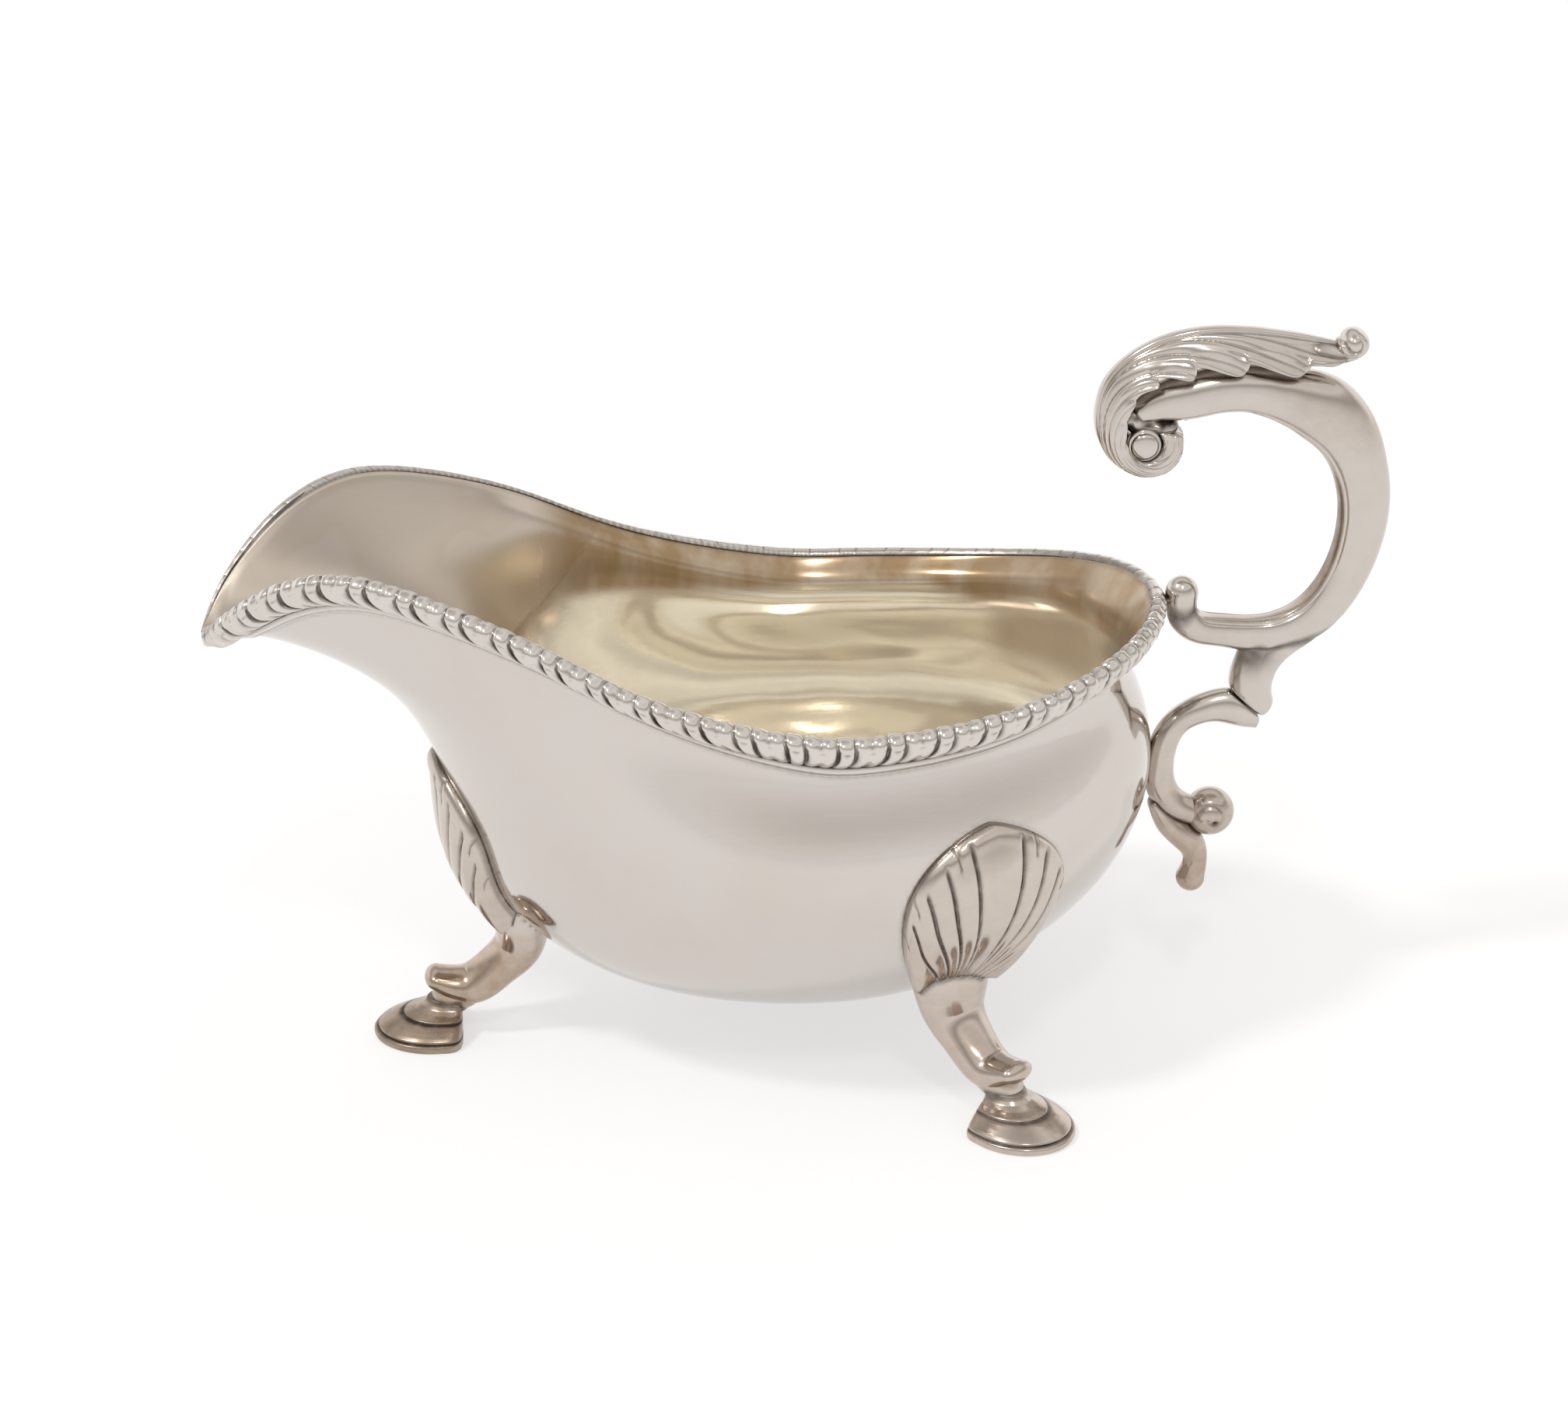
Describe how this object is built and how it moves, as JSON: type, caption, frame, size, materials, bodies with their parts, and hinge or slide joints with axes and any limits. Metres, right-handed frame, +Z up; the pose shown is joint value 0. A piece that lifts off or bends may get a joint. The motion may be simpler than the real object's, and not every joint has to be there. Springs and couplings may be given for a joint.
{
  "type": "sauce boat",
  "caption": "Oval silver sauce boat with a high flared spout, gadrooned rim, leaf-capped scroll handle and legs with shell knees and hoof feet.",
  "frame": {"origin": "on the ground plane, under the middle of the overall length and width", "axes": "+Z up; -X toward the pouring spout, +X toward the handle; +Y to the right of the person pouring"},
  "size_m": [0.1964, 0.1026, 0.1239],
  "materials": {
    "bowl_silver": "polished silver with fine wear, softly hammered hand-raised surface, pale gilding inside the bowl",
    "border_silver": "polished silver lobes with dark oxidised grooves",
    "cast_silver": "polished cast silver with warm brown tarnish and dark oxidised creases"
  },
  "bodies": {
    "root": {"bowl": "bowl_silver", "gadroon_left": "border_silver", "gadroon_right": "border_silver", "rim_reed": "border_silver", "handle_main_scroll": "cast_silver", "handle_leaf": "cast_silver", "handle_leaf_curl": "cast_silver", "handle_front_volute": "cast_silver", "handle_rim_volute": "cast_silver", "handle_strut": "cast_silver", "handle_lower_scroll": "cast_silver", "handle_spur": "cast_silver", "leg_front_shell": "cast_silver", "leg_front_shank": "cast_silver", "leg_front_foot": "cast_silver", "leg_back_left_shell": "cast_silver", "leg_back_left_shank": "cast_silver", "leg_back_left_foot": "cast_silver", "leg_back_right_shell": "cast_silver", "leg_back_right_shank": "cast_silver", "leg_back_right_foot": "cast_silver"}
  },
  "joints": []
}
